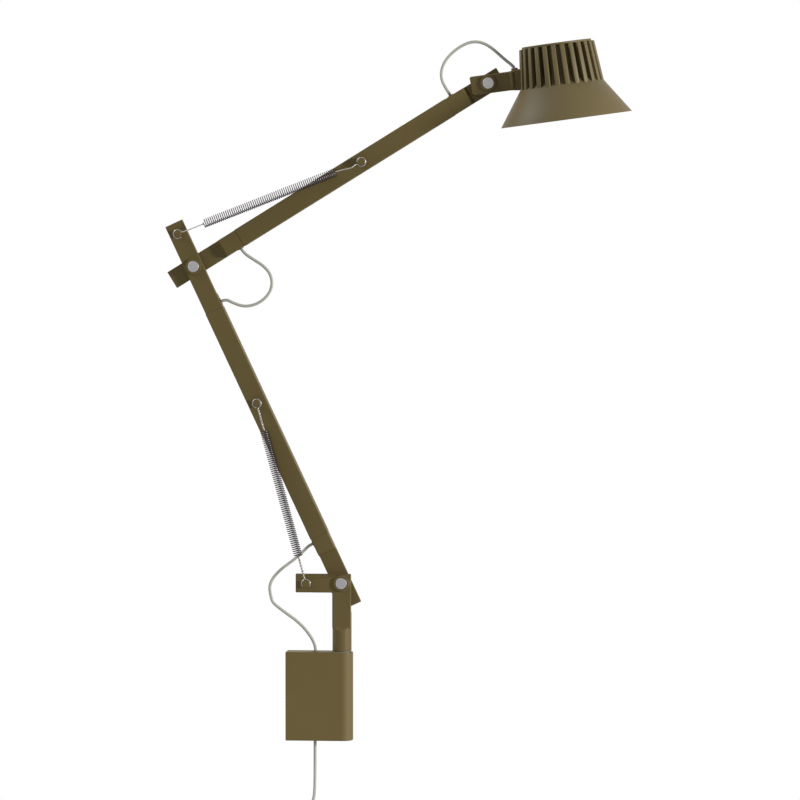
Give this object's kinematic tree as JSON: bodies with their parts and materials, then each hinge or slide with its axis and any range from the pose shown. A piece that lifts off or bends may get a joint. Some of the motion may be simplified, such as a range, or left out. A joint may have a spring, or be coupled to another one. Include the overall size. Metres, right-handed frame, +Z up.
{
  "type": "articulating wall lamp",
  "caption": "Spring balanced wall lamp: narrow wall box, turning post, long jointed arms and a finned metal head with a wide shade.",
  "frame": {"origin": "middle of the wall box's face that lies on the wall", "axes": "+X away from the wall, +Z up, -Y the front side that shows pins, pegs and springs; the arms move in the plane Y = 0 at rest"},
  "size_m": [0.5839, 0.1644, 1.2101],
  "materials": {
    "bronze_paint": "satin bronze paint with a fine grain",
    "shade_paint": "satin bronze paint on a die casting",
    "zinc_steel": "zinc plated",
    "bright_steel": "turned, bright",
    "spring_steel": "drawn wire",
    "bush_plastic": "acetal",
    "lead_sheath": "pale grey sheath",
    "grey_rubber": "soft rubber",
    "adaptor_plastic": "moulded, off-white",
    "opal_plastic": "opal",
    "board_metal": "white solder mask on aluminium",
    "brass": "turned",
    "phosphor": "phosphor"
  },
  "bodies": {
    "root": {"wall_plate": "zinc_steel", "box_housing": "bronze_paint", "housing_screw": "zinc_steel", "post_bushes": "bush_plastic", "stop_screw": "zinc_steel", "terminal_block": "adaptor_plastic", "terminal_screws": "brass", "cord_clamp": "adaptor_plastic", "box_grommets": "grey_rubber", "box_leads": "lead_sheath", "supply_lead": "lead_sheath", "supply_hank": "lead_sheath", "hank_tie": "grey_rubber", "plug_relief": "grey_rubber", "plug_body": "adaptor_plastic", "plug_pins": "brass", "shoulder_lead_lower": "lead_sheath"},
    "swivel": {"swivel_bracket": "bronze_paint", "shoulder_pin": "bright_steel", "shoulder_washer": "bush_plastic", "shoulder_nut": "zinc_steel", "bracket_spring_peg": "bronze_paint", "shoulder_lead_upper": "lead_sheath"},
    "lower_arm": {"lower_arm_tube": "bronze_paint", "lower_arm_foot": "bronze_paint", "lower_arm_head": "bronze_paint", "lower_arm_screws": "zinc_steel", "lower_arm_grommets": "grey_rubber", "lower_arm_lead": "lead_sheath", "lower_spring_peg": "bronze_paint", "elbow_spring_peg": "bronze_paint", "lower_spring": "spring_steel", "elbow_pin": "bright_steel", "elbow_washer": "bush_plastic", "elbow_nut": "zinc_steel", "elbow_lead": "lead_sheath"},
    "upper_arm": {"upper_arm_tube": "bronze_paint", "upper_arm_foot": "bronze_paint", "upper_arm_head": "bronze_paint", "upper_arm_screws": "zinc_steel", "upper_arm_grommets": "grey_rubber", "upper_arm_lead": "lead_sheath", "upper_spring_peg": "bronze_paint", "upper_spring": "spring_steel", "head_lead": "lead_sheath"},
    "head": {"head_bracket": "bronze_paint", "wrist_pin": "bright_steel", "wrist_washer": "bush_plastic", "wrist_nut": "zinc_steel", "head_grommet": "grey_rubber", "head_inner_lead": "lead_sheath", "lamp_shade": "shade_paint", "top_cap": "shade_paint", "bracket_screws": "zinc_steel", "led_board": "board_metal", "led_chip": "phosphor", "reflector": "adaptor_plastic", "diffuser": "opal_plastic", "diffuser_ring": "shade_paint"}
  },
  "joints": [
    {"name": "post_swivel", "type": "hinge", "parent": "root", "child": "swivel", "pos_m": [0.07, 0, 0], "axis": [0, 0, 1], "range_deg": [-90, 90], "deforming": ["shoulder_lead_lower"]},
    {"name": "shoulder_hinge", "type": "hinge", "parent": "swivel", "child": "lower_arm", "pos_m": [0.07, 0, 0.1419], "axis": [0, -1, 0], "range_deg": [-65, 30], "deforming": ["shoulder_lead_upper", "lower_spring"]},
    {"name": "elbow_hinge", "type": "hinge", "parent": "lower_arm", "child": "upper_arm", "pos_m": [-0.11567, 0, 0.53827], "axis": [0, -1, 0], "range_deg": [-60, 45], "deforming": ["elbow_lead", "upper_spring"]},
    {"name": "head_hinge", "type": "hinge", "parent": "upper_arm", "child": "head", "pos_m": [0.25403, 0, 0.76749], "axis": [0, -1, 0], "range_deg": [-50, 60], "deforming": ["head_lead"]}
  ]
}
